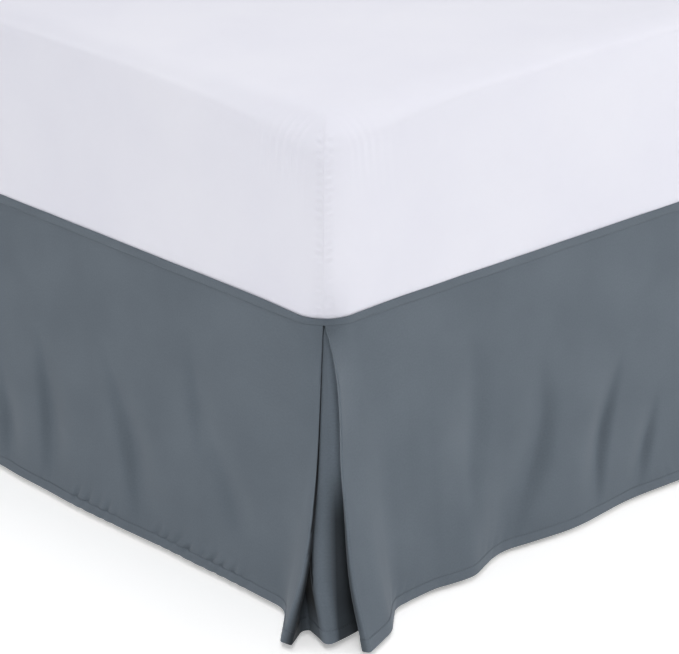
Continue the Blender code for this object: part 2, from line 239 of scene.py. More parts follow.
@dataclass(frozen=True)
class Microfibre:
    """Plain-woven polyester microfibre with a brushed face, dyed slate grey.

    It is matt with a faint bloom at a grazing angle. The threads are too fine to show, so the weave
    is drawn at about six times its real spacing of 0.15 mm. Deep in a pleat the cloth gets a painted
    shade, almost black, and on the underlay's ridge and the panels' folded edges a painted highlight,
    a little paler, to give the pleat its depth.
    """

    face: str = "#636C75"
    deep: str = "#5E6770"
    hem: str = "#626B74"
    thread_mm: float = 0.9
    hem_mm: float = 13.0
    # What is left of the colour in the deepest painted pleat shade
    deepest_painted_shade: float = 0.04

    def material(self) -> bpy.types.Material:
        """Builds the cloth's material, which follows the piece's UV map in metres.

        Returns:
            The material.
        """
        material, shader = new_material("brushed polyester microfibre, slate grey")
        tree = material.node_tree
        uv = add_node(tree, "UVMap", {"uv_map": "cloth"}).outputs["UV"]
        axes = add_node(tree, "SeparateXYZ", links={0: uv})
        waves = []
        for bands in ("X", "Y"):
            scale = 2 * math.pi / (20 * self.thread_mm * MM)
            wave = add_node(
                tree,
                "TexWave",
                {"wave_type": "BANDS", "bands_direction": bands, "Scale": scale, "Distortion": 0.4},
                {"Vector": uv},
            )
            waves.append(wave.outputs["Fac"])
        weave = add_node(tree, "Math", {"operation": "MAXIMUM"}, {0: waves[0], 1: waves[1]})
        nap = add_node(tree, "TexNoise", {"Scale": 420.0, "Detail": 4.0}, {"Vector": uv})
        drift = add_node(tree, "TexNoise", {"Scale": 9.0, "Detail": 3.0}, {"Vector": uv})
        tone = add_node(
            tree,
            "MapRange",
            {"From Min": 0.35, "From Max": 0.65},
            {"Value": drift.outputs["Fac"]},
        )
        dyed = add_node(
            tree,
            "Mix",
            {"data_type": "RGBA", 6: linear(self.deep), 7: linear(self.face)},
            {0: tone.outputs[0]},
        )
        fleck = add_node(
            tree,
            "MapRange",
            {"From Min": 0.3, "From Max": 0.7, "To Min": 0.94, "To Max": 1.05},
            {"Value": nap.outputs["Fac"]},
        )
        in_hem = add_node(
            tree,
            "MapRange",
            {"From Min": self.hem_mm * MM, "From Max": 0.9 * self.hem_mm * MM, "To Max": 0.8},
            {"Value": axes.outputs["Y"]},
        )
        turned = add_node(
            tree,
            "Mix",
            {"data_type": "RGBA", 7: linear(self.hem)},
            {0: in_hem.outputs[0], 6: dyed.outputs[2]},
        )
        flecked = add_node(
            tree,
            "VectorMath",
            {"operation": "SCALE"},
            {0: turned.outputs[2], "Scale": fleck.outputs[0]},
        )
        # The pleat's painted shade and painted highlight go into the cloth's colour
        shaded = paint_shade_and_highlight(tree, flecked.outputs[0], self.deepest_painted_shade)
        tree.links.new(shaded, shader.inputs["Base Color"])
        rough = add_node(
            tree,
            "MapRange",
            {"To Min": 0.74, "To Max": 0.88},
            {"Value": nap.outputs["Fac"]},
        )
        tree.links.new(rough.outputs[0], shader.inputs["Roughness"])
        height = add_node(
            tree,
            "Math",
            {"operation": "MULTIPLY_ADD", 1: 0.6},
            {0: weave.outputs[0], 2: nap.outputs["Fac"]},
        )
        bump = add_node(
            tree,
            "Bump",
            {"Strength": 0.25, "Distance": 0.12 * MM},
            {"Height": height.outputs[0]},
        )
        tree.links.new(bump.outputs[0], shader.inputs["Normal"])
        shader.inputs["Specular IOR Level"].default_value = 0.2
        shader.inputs["Sheen Weight"].default_value = 0.08
        shader.inputs["Sheen Roughness"].default_value = 0.45
        return material


@dataclass(frozen=True)
class SewingThread:
    """Spun polyester sewing thread a shade deeper than the cloth, with a slight gloss."""

    colour: str = "#58606A"
    # What is left of the thread's colour in the deepest painted pleat shade
    deepest_painted_shade: float = 0.04

    def material(self) -> bpy.types.Material:
        """Builds the thread's material, with the twist of its plies.

        Returns:
            The material.
        """
        material, shader = new_material("spun polyester sewing thread")
        tree = material.node_tree
        place = add_node(tree, "TexCoord").outputs["Object"]
        twist = add_node(tree, "TexNoise", {"Scale": 1500.0, "Detail": 2.0}, {"Vector": place})
        shade = add_node(
            tree,
            "MapRange",
            {"To Min": 0.8, "To Max": 1.15},
            {"Value": twist.outputs["Fac"]},
        )
        tone = add_node(
            tree,
            "VectorMath",
            {"operation": "SCALE", 0: linear(self.colour)[:3]},
            {"Scale": shade.outputs[0]},
        )
        # The stitches take the pleat's painted shade and painted highlight, as the cloth does
        shaded = paint_shade_and_highlight(tree, tone.outputs[0], self.deepest_painted_shade)
        tree.links.new(shaded, shader.inputs["Base Color"])
        shader.inputs["Roughness"].default_value = 0.6
        return material


@dataclass(frozen=True)
class CottonSheeting:
    """Bleached cotton percale, matt and very slightly blue, as optical whitener leaves it.

    The weave is drawn at 0.9 mm, three times its real spacing, so that it shows close up.
    """

    colour: str = "#E6E6EF"
    shade: str = "#E3E3ED"
    thread_mm: float = 0.9

    def material(self) -> bpy.types.Material:
        """Builds the sheeting's material.

        Returns:
            The material.
        """
        material, shader = new_material("bleached cotton percale")
        tree = material.node_tree
        place = add_node(tree, "TexCoord").outputs["Object"]
        scale = 2 * math.pi / (20 * self.thread_mm * MM)
        waves = []
        for bands in ("X", "Y", "Z"):
            wave = add_node(
                tree,
                "TexWave",
                {"wave_type": "BANDS", "bands_direction": bands, "Scale": scale, "Distortion": 0.3},
                {"Vector": place},
            )
            waves.append(wave.outputs["Fac"])
        pair = add_node(tree, "Math", {"operation": "ADD"}, {0: waves[0], 1: waves[1]})
        weave = add_node(tree, "Math", {"operation": "ADD"}, {0: pair.outputs[0], 1: waves[2]})
        soft = add_node(tree, "TexNoise", {"Scale": 6.0, "Detail": 4.0}, {"Vector": place})
        tone = add_node(
            tree,
            "MapRange",
            {"From Min": 0.35, "From Max": 0.65},
            {"Value": soft.outputs["Fac"]},
        )
        bleached = add_node(
            tree,
            "Mix",
            {"data_type": "RGBA", 6: linear(self.shade), 7: linear(self.colour)},
            {0: tone.outputs[0]},
        )
        tree.links.new(bleached.outputs[2], shader.inputs["Base Color"])
        slub = add_node(tree, "TexNoise", {"Scale": 350.0, "Detail": 3.0}, {"Vector": place})
        height = add_node(
            tree,
            "Math",
            {"operation": "MULTIPLY_ADD", 1: 0.3},
            {0: weave.outputs[0], 2: slub.outputs["Fac"]},
        )
        bump = add_node(
            tree,
            "Bump",
            {"Strength": 0.15, "Distance": 0.12 * MM},
            {"Height": height.outputs[0]},
        )
        tree.links.new(bump.outputs[0], shader.inputs["Normal"])
        shader.inputs["Roughness"].default_value = 0.9
        shader.inputs["Specular IOR Level"].default_value = 0.2
        shader.inputs["Sheen Weight"].default_value = 0.15
        return material


@dataclass(frozen=True)
class Ticking:
    """Off-white polyester ticking with a coarse matt weave."""

    colour: str = "#CFCBC2"
    shade: str = "#C2BDB3"
    thread_mm: float = 1.2

    def material(self) -> bpy.types.Material:
        """Builds the ticking's material.

        Returns:
            The material.
        """
        material, shader = new_material("woven polyester ticking")
        tree = material.node_tree
        place = add_node(tree, "TexCoord").outputs["Object"]
        scale = 2 * math.pi / (20 * self.thread_mm * MM)
        waves = []
        for bands in ("DIAGONAL", "Z"):
            wave = add_node(
                tree,
                "TexWave",
                {"wave_type": "BANDS", "bands_direction": bands, "Scale": scale, "Distortion": 0.6},
                {"Vector": place},
            )
            waves.append(wave.outputs["Fac"])
        weave = add_node(tree, "Math", {"operation": "MAXIMUM"}, {0: waves[0], 1: waves[1]})
        woven = add_node(
            tree,
            "Mix",
            {"data_type": "RGBA", 6: linear(self.shade), 7: linear(self.colour)},
            {0: weave.outputs[0]},
        )
        tree.links.new(woven.outputs[2], shader.inputs["Base Color"])
        bump = add_node(
            tree,
            "Bump",
            {"Strength": 0.4, "Distance": 0.2 * MM},
            {"Height": weave.outputs[0]},
        )
        tree.links.new(bump.outputs[0], shader.inputs["Normal"])
        shader.inputs["Roughness"].default_value = 0.92
        shader.inputs["Sheen Weight"].default_value = 0.1
        return material


@dataclass(frozen=True)
class PowderCoat:
    """Black polyester powder coat on steel: satin, with a fine orange-peel skin and dust on top."""

    colour: str = "#202124"
    dust: str = "#4A4A4A"
    peel_mm: float = 1.5

    def material(self) -> bpy.types.Material:
        """Builds the coated steel's material.

        Returns:
            The material.
        """
        material, shader = new_material("powder-coated steel")
        tree = material.node_tree
        place = add_node(tree, "TexCoord").outputs["Object"]
        peel = add_node(
            tree,
            "TexNoise",
            {"Scale": 1 / (self.peel_mm * MM), "Detail": 2.0},
            {"Vector": place},
        )
        settled = add_node(tree, "TexNoise", {"Scale": 14.0, "Detail": 5.0}, {"Vector": place})
        amount = add_node(
            tree,
            "MapRange",
            {"From Min": 0.45, "From Max": 0.75, "To Max": 0.35},
            {"Value": settled.outputs["Fac"]},
        )
        coat = add_node(
            tree,
            "Mix",
            {"data_type": "RGBA", 6: linear(self.colour), 7: linear(self.dust)},
            {0: amount.outputs[0]},
        )
        tree.links.new(coat.outputs[2], shader.inputs["Base Color"])
        rough = add_node(
            tree,
            "MapRange",
            {"To Min": 0.38, "To Max": 0.6},
            {"Value": settled.outputs["Fac"]},
        )
        tree.links.new(rough.outputs[0], shader.inputs["Roughness"])
        bump = add_node(
            tree,
            "Bump",
            {"Strength": 0.2, "Distance": 0.1 * MM},
            {"Height": peel.outputs["Fac"]},
        )
        tree.links.new(bump.outputs[0], shader.inputs["Normal"])
        return material


@dataclass(frozen=True)
class MouldedPlastic:
    """Dark grey polypropylene, moulded, with a fine matt texture."""

    colour: str = "#3A3A3C"
    grain_mm: float = 0.6

    def material(self) -> bpy.types.Material:
        """Builds the plastic's material.

        Returns:
            The material.
        """
        material, shader = new_material("moulded polypropylene")
        tree = material.node_tree
        place = add_node(tree, "TexCoord").outputs["Object"]
        grain = add_node(
            tree,
            "TexNoise",
            {"Scale": 1 / (self.grain_mm * MM), "Detail": 3.0},
            {"Vector": place},
        )
        shade = add_node(
            tree,
            "MapRange",
            {"To Min": 0.85, "To Max": 1.15},
            {"Value": grain.outputs["Fac"]},
        )
        tone = add_node(
            tree,
            "VectorMath",
            {"operation": "SCALE", 0: linear(self.colour)[:3]},
            {"Scale": shade.outputs[0]},
        )
        tree.links.new(tone.outputs[0], shader.inputs["Base Color"])
        bump = add_node(
            tree,
            "Bump",
            {"Strength": 0.3, "Distance": 0.08 * MM},
            {"Height": grain.outputs["Fac"]},
        )
        tree.links.new(bump.outputs[0], shader.inputs["Normal"])
        shader.inputs["Roughness"].default_value = 0.6
        return material


@dataclass(frozen=True)
class StudioFloor:
    """White opal studio flooring, lit from above and a little from below."""

    colour: str = "#FAFAFA"
    glow: float = 0.34

    def material(self) -> bpy.types.Material:
        """Builds the floor's material.

        Returns:
            The material.
        """
        material, shader = new_material("matt white studio floor")
        shader.inputs["Base Color"].default_value = linear(self.colour)
        shader.inputs["Roughness"].default_value = 1.0
        shader.inputs["Specular IOR Level"].default_value = 0.0
        shader.inputs["Emission Color"].default_value = (1.0, 1.0, 1.0, 1.0)
        shader.inputs["Emission Strength"].default_value = self.glow
        return material


# The skirt's tables


@dataclass(frozen=True)
class FoldLine:
    """A crease of the corner pleat, as (x, y) at four heights from the seam to the hem.

    The reach is how far it is rounded on each side, and the start how steeply it leaves the seam.
    """

    name: str
    top: Point
    middle: Point
    low: Point
    hem: Point
    reach_top: float
    reach_hem: float
    steps: int
    start: float = 1.0


@dataclass(frozen=True)
class HemPoint:
    """How far the hem stands out from the bed's side, at a distance from the foot corner."""

    along: float
    outward: float


@dataclass(frozen=True)
class Trough:
    """A soft hollow in a drop, from one share of its height to another.

    Its line bends through three places. It is steep towards the far end of the drop and falls away
    gently towards the foot corner.
    """

    line: tuple[float, float, float]
    top: float
    bottom: float
    depth: float
    steep: float
    gentle: float


@dataclass(frozen=True)
class Puckers:
    """A stretch of the hem where its stitching has drawn the cloth up."""

    start: float
    end: float
    pitch: float
    depth: float
    lean: float


LEVELS = [0.0, 0.5, 0.8, 1.0]
SIDE_JOIN = 120.0
FOOT_JOIN = 130.0
FOOT_END = 1394.0
SIDE_END = 1984.0
SEAM_LINE = "side valley outside"

PLEAT = (
    FoldLine("side bend", (1.5, 27.5), (-3.4, 42), (-5.5, 52), (-8, 57.5), 18.4, 19, 2),
    FoldLine("side edge outside", (12.5, 14.7), (-7.4, 6.8), (-32.2, 2.6), (-68, 0), 1.2, 2.4, 3),
    FoldLine("side edge inside", (14.9, 17.1), (-3.8, 5.0), (-27.8, -3.2), (-65.5, -14.5), 1.2, 2.4, 0),
    FoldLine("side return", (4.5, 28.5), (-0.8, 37), (-17, 21), (-49, -5.5), 17, 6, 2),
    FoldLine("side valley outside", (4, 76), (0.8, 66), (-5, 42), (-33, 3.2), 1.7, 5.7, 2),
    FoldLine("side valley inside", (7.4, 76), (5, 66), (2.5, 41), (-22.5, -1), 1.7, 5.7, 0),
    FoldLine("underlay side", (7.9, 29.9), (3.2, 38), (-8, 20), (-28, -23), 15.9, 6, 2),
    FoldLine("underlay ridge", (18.4, 18.4), (1, 10.2), (-17.5, -1.2), (-36, -45.5), 2, 13, 2),
    FoldLine("underlay foot", (29.9, 7.9), (28, -6), (12, -24), (-7, -44), 15.9, 8, 2),
    FoldLine("foot valley inside", (76, 7.4), (66, 1), (45, -16), (23, -41), 1.7, 4.5, 2),
    FoldLine("foot valley outside", (76, 4), (66, -3.5), (43, -23), (18, -48.5), 1.7, 4.5, 0),
    FoldLine("foot return", (28.5, 4.5), (36, -15), (20, -34.5), (1.5, -65), 17, 6, 2),
    FoldLine("foot edge inside", (17.4, 14.6), (4.9, -26.6), (-2, -47), (-14, -84), 1.2, 2.4, 2, 3.5),
    FoldLine("foot edge outside", (15, 12.2), (4.3, -31.6), (0.5, -53), (-10, -91), 1.2, 2.4, 0, 3.5),
    FoldLine("foot bend", (27.5, 1.5), (36, -28), (42, -47), (46, -71), 18.4, 12, 2),
    FoldLine("foot flare", (70, 0.6), (85, -12.5), (88, -21.5), (90, -29.5), 15, 14, 2),
)

# How much painted shade each crease of the pleat gets near the seam, lower down and at the hem:
# 1 is the deepest and darkest, and the underlay's ridge, which stands in the opening, is below 0,
# which paints a highlight
PLEAT_PAINTED_SHADES = {
    "side edge inside": (1.0, 0.9, 0.8),
    "side return": (1.0, 1.0, 0.8),
    "side valley outside": (1.0, 1.0, 0.6),
    "side valley inside": (1.0, 1.0, 0.5),
    "underlay side": (1.0, 0.9, 0.3),
    "underlay ridge": (-0.4, -0.25, -0.2),
    "underlay foot": (-0.5, 0.75, 0.65),
    "foot valley inside": (-0.2, 1.0, 0.8),
    "foot valley outside": (0.2, 1.0, 0.8),
    "foot return": (0.3, 1.0, 0.7),
    "foot edge inside": (-0.3, 0.6, 0.35),
}

# The deck's edge in section, as steps outwards and down: it rises beside the mattress, folds over
# and hangs down over the drops to the seam
SEAM_ROLL = (
    (0.5, -0.6),
    (0.8, -2.0),
    (0.9, -4.5),
    (0.9, -7.0),
    (1.1, -8.1),
    (1.45, -8.4),
    (1.8, -8.1),
    (2.0, -7.2),
    (2.05, -4.5),
    (2.0, -2.0),
    (2.1, 0.0),
    (2.1, 1.0),
    (1.9, 1.6),
    (1.5, 2.0),
    (1.1, 2.1),
)

LEFT_HEM = (
    HemPoint(SIDE_JOIN, 7.4),
    HemPoint(178, 8.0),
    HemPoint(255, 8.9),
    HemPoint(332, 10.6),
    HemPoint(409, 13.8),
    HemPoint(495, 12.5),
    HemPoint(584, 10.6),
    HemPoint(640, 7.6),
    HemPoint(730, 10.0),
    HemPoint(830, 14.0),
    HemPoint(930, 9.0),
    HemPoint(1050, 13.0),
    HemPoint(1180, 8.0),
    HemPoint(1320, 14.5),
    HemPoint(1450, 9.5),
    HemPoint(1600, 12.5),
    HemPoint(1740, 8.5),
    HemPoint(1880, 13.0),
    HemPoint(SIDE_END, 10.0),
)

RIGHT_HEM = (
    HemPoint(SIDE_JOIN, 8.0),
    HemPoint(230, 12.5),
    HemPoint(350, 8.5),
    HemPoint(470, 14.0),
    HemPoint(610, 10.0),
    HemPoint(760, 13.5),
    HemPoint(900, 8.0),
    HemPoint(1060, 12.0),
    HemPoint(1240, 9.0),
    HemPoint(1400, 14.5),
    HemPoint(1570, 9.5),
    HemPoint(1730, 12.5),
    HemPoint(1890, 8.5),
    HemPoint(SIDE_END, 10.5),
)

FOOT_HEM = (
    HemPoint(FOOT_JOIN, 27.0),
    HemPoint(164, 26.7),
    HemPoint(188, 31.0),
    HemPoint(222, 34.0),
    HemPoint(248, 26.0),
    HemPoint(275, 16.5),
    HemPoint(304, 12.3),
    HemPoint(349, 18.4),
    HemPoint(394, 24.9),
    HemPoint(424, 26.0),
    HemPoint(479, 21.1),
    HemPoint(523, 18.0),
    HemPoint(565, 18.5),
    HemPoint(625, 22.2),
    HemPoint(700, 25.0),
    HemPoint(780, 17.0),
    HemPoint(870, 21.5),
    HemPoint(960, 14.0),
    HemPoint(1050, 22.0),
    HemPoint(1130, 27.0),
    HemPoint(1210, 18.0),
    HemPoint(1300, 22.5),
    HemPoint(FOOT_END, 24.5),
)

LEFT_TROUGHS = (
    Trough((620, 619, 612), 0.58, 1.0, 9.5, 11, 28),
    Trough((541, 529, 517), 0.34, 1.0, 11.5, 11, 34),
    Trough((408, 361, 331), 0.32, 1.0, 12.0, 12, 36),
    Trough((236, 230, 212), 0.16, 0.64, 6.5, 12, 32),
    Trough((212, 170, 140), 0.46, 0.86, 6.0, 16, 34),
    Trough((880, 892, 905), 0.36, 1.0, 6.8, 16, 34),
    Trough((1240, 1228, 1200), 0.30, 0.95, 6.8, 15, 36),
    Trough((1660, 1672, 1700), 0.40, 1.0, 6.8, 16, 34),
)

RIGHT_TROUGHS = (
    Trough((310, 322, 345), 0.34, 1.0, 6.8, 15, 34),
    Trough((700, 688, 665), 0.30, 0.95, 6.1, 16, 36),
    Trough((1150, 1162, 1180), 0.40, 1.0, 6.8, 15, 34),
    Trough((1500, 1488, 1470), 0.35, 0.95, 6.1, 16, 36),
)

FOOT_TROUGHS = (
    Trough((228, 249, 210), 0.06, 0.92, 13.5, 24, 46),
    Trough((354, 368, 302), 0.26, 1.0, 13.0, 18, 40),
    Trough((524, 486, 458), 0.38, 1.0, 11.0, 9, 28),
    Trough((585, 571, 546), 0.60, 1.0, 8.5, 8, 24),
    Trough((900, 912, 930), 0.30, 1.0, 7.4, 16, 34),
    Trough((1230, 1218, 1200), 0.35, 1.0, 6.8, 16, 34),
)

LEFT_PUCKERS = (
    Puckers(378, 470, 21, 3.6, 0.6),
    Puckers(232, 306, 19, 3.8, 0.8),
    Puckers(123, 217, 20, 3.8, 0.9),
    Puckers(520, 560, 20, 1.8, 0.4),
    Puckers(760, 900, 22, 1.2, 0.5),
    Puckers(1080, 1160, 21, 1.4, -0.4),
    Puckers(1400, 1540, 23, 1.2, 0.5),
    Puckers(1780, 1860, 20, 1.3, 0.4),
)

RIGHT_PUCKERS = (
    Puckers(180, 290, 21, 1.3, 0.5),
    Puckers(520, 600, 20, 1.4, -0.5),
    Puckers(900, 1040, 22, 1.2, 0.5),
    Puckers(1330, 1430, 20, 1.4, 0.5),
    Puckers(1700, 1800, 22, 1.2, -0.4),
)

FOOT_PUCKERS = (
    Puckers(60, 150, 18, 1.0, -0.6),
    Puckers(250, 330, 20, 0.8, -0.5),
    Puckers(560, 640, 21, 0.8, 0.4),
    Puckers(740, 860, 22, 1.2, 0.5),
    Puckers(1000, 1100, 20, 1.3, -0.5),
    Puckers(1260, 1360, 19, 1.2, 0.5),
)


# The skirt


@dataclass(frozen=True)
class Panel:
    """One long face of the skirt, by its tables."""

    hem: tuple[HemPoint, ...]
    troughs: tuple[Trough, ...]
    start: float
    end: float
    fine_to: float

    def places(self, fine: float, coarse: float) -> list[float]:
        """Distances along the panel, closer together where the folds are seen near to.

        Args:
            fine: The spacing up to fine_to.
            coarse: The spacing beyond.

        Returns:
            The distances, rising, with both ends.
        """
        near = max(1, round((self.fine_to - self.start) / fine))
        far = max(1, round((self.end - self.fine_to) / coarse))
        first = [self.start + (self.fine_to - self.start) * i / near for i in range(near)]
        rest = [self.fine_to + (self.end - self.fine_to) * i / far for i in range(far + 1)]
        return first + rest

    def outward(self, along: float, down: float) -> float:
        """How far the panel stands out from the bed's side.

        Args:
            along: Distance from the foot corner, in millimetres.
            down: 0 at the seam, 1 at the hem.

        Returns:
            The distance in millimetres.
        """
        stand = hermite(
            [point.along for point in self.hem], [point.outward for point in self.hem], along
        )
        pull = 0.0
        for trough in self.troughs:
            if trough.top < down < trough.bottom:
                share = (down - trough.top) / (trough.bottom - trough.top)
                beyond = along - hermite([0.0, 0.5, 1.0], list(trough.line), share)
                width = trough.steep if beyond > 0 else trough.gentle
                fade = math.sin(math.pi * share**1.3) ** 1.5
                pull += trough.depth * fade * bell(beyond, width)
        return stand * down**1.4 - pull


@dataclass(frozen=True)
class CornerPleat:
    """The inverted pleat of a foot corner: how its creases run from the seam to the hem."""

    opening: float = 1.0
    seam_depth: float = 0.016
    leg_detail: int = 4
    bend_steps: int = 8
    longest_reach: float = 0.9
    # A painted highlight: the apex of the panels' folded edges is painted paler than the cloth
    painted_edge_highlight: float = -0.16
    # Shares of the drop where the painted shade grows, eases as the pleat opens at the hem, and clears
    # from the ridge and the side edge
    darkens: Point = (0.44, 0.66)
    opens: Point = (0.88, 0.97)
    ridge_clears: Point = (0.78, 0.88)
    edge_clears: Point = (0.62, 0.8)
    edge_thins: Point = (0.58, 0.64)

    def crease(self, line: FoldLine, down: float) -> Vector:
        """Finds where a crease runs at one height.

        Args:
            line: The crease.
            down: 0 at the seam, 1 at the hem.

        Returns:
            Its place in plan, in corner coordinates.
        """
        levels = (line.top, line.middle, line.low, line.hem)
        below = max(0.0, down - self.seam_depth) / (1.0 - self.seam_depth)
        columns = [[level[axis] for level in levels] for axis in (0, 1)]
        full = Vector([hermite(LEVELS, column, below, line.start) for column in columns])
        return Vector(line.top).lerp(full, self.opening)

    def reaches(self, stops: list[Vector], down: float) -> list[float]:
        """How far each crease is rounded, shortened where two neighbours would meet.

        Args:
            stops: The section's start, its creases and its end.
            down: 0 at the seam, 1 at the hem.

        Returns:
            One reach for each crease.
        """
        wanted = [line.reach_top + (line.reach_hem - line.reach_top) * down for line in PLEAT]
        fitted = list(wanted)
        for index in range(len(stops) - 1):
            leg = (stops[index + 1] - stops[index]).length * self.longest_reach
            sharing = [i for i in (index - 1, index) if 0 <= i < len(wanted)]
            total = sum(wanted[i] for i in sharing)
            for i in sharing:
                fitted[i] = min(fitted[i], wanted[i] * leg / max(total, leg))
        return fitted

    def section(self, start: Vector, end: Vector, down: float) -> tuple[list[Vector], int]:
        """The pleat's line in plan at one height.

        Args:
            start: Where it leaves the side panel.
            end: Where it joins the foot panel.
            down: 0 at the seam, 1 at the hem.

        Returns:
            The line's points, and how many of them lie on the side drop.
        """
        corners = [self.crease(line, down) for line in PLEAT]
        stops = [start, *corners, end]
        points = [start]
        side_count = 0
        rows = zip(PLEAT, self.reaches(stops, down), stops, corners, stops[2:])
        for line, reach, before, corner, after in rows:
            enter = corner + (before - corner).normalized() * reach
            leave = corner + (after - corner).normalized() * reach
            legs = line.steps * self.leg_detail
            last = points[-1]
            points += [last.lerp(enter, (i + 1) / legs) for i in range(legs)]
            if line.name == SEAM_LINE:
                side_count = len(points)
            for i in range(self.bend_steps):
                t = (i + 1) / self.bend_steps
                points.append(enter.lerp(corner, t).lerp(corner.lerp(leave, t), t))
        legs = PLEAT[-1].steps * self.leg_detail
        last = points[-1]
        points += [last.lerp(end, (i + 1) / legs) for i in range(legs)]
        return points, side_count

    def painted_shades(self, down: float) -> list[float]:
        """How much painted shade each point of a section gets, 1 at the deepest and darkest.

        The painted shade gathers behind the panels' edges: the side edge is painted black in its last
        bend, and the underlay stays painted black up to its ridge, except near the hem, where the pleat
        stands open. The panels' folded edges themselves get a painted highlight, a little paler, as the
        photo shows them.

        Args:
            down: 0 at the seam, 1 at the hem.

        Returns:
            One painted shade value for each point of the section.
        """
        later, last_part = smooth(*self.darkens, down), smooth(*self.opens, down)
        # How many bend points of the ridge and of the side edge are painted dark at this height
        hidden = round(3 * (1 - smooth(*self.ridge_clears, down)))
        turned = round(3 - 2 * smooth(*self.edge_clears, down) - smooth(*self.edge_thins, down))
        values = [0.0]
        for line in PLEAT:
            at_seam, lower, at_hem = PLEAT_PAINTED_SHADES.get(line.name, (0.0, 0.0, 0.0))
            depth = at_seam + (lower - at_seam) * later + (at_hem - lower) * last_part
            legs = line.steps * self.leg_detail
            last = values[-1]
            power = 1.5 if depth > last else 1 + hidden
            values += [last + (depth - last) * ((i + 1) / legs) ** power for i in range(legs)]
            bend = [depth] * self.bend_steps
            # The side edge's last bend points are painted black and its apex gets a painted highlight,
            # as does the foot edge's apex; high up, the ridge's first bend points are painted dark
            if line.name == "side edge outside":
                bend[2:5] = [self.painted_edge_highlight] * 3
                if turned:
                    bend[-turned:] = [0.5, 1.0, 1.0][:turned]
            if line.name == "foot edge outside":
                bend[1:5] = [self.painted_edge_highlight] * 4
            if line.name == "underlay ridge":
                bend[:hidden] = [0.95, 0.8, 0.4][:hidden]
            values += bend
        return values + [0.0] * (PLEAT[-1].steps * self.leg_detail)


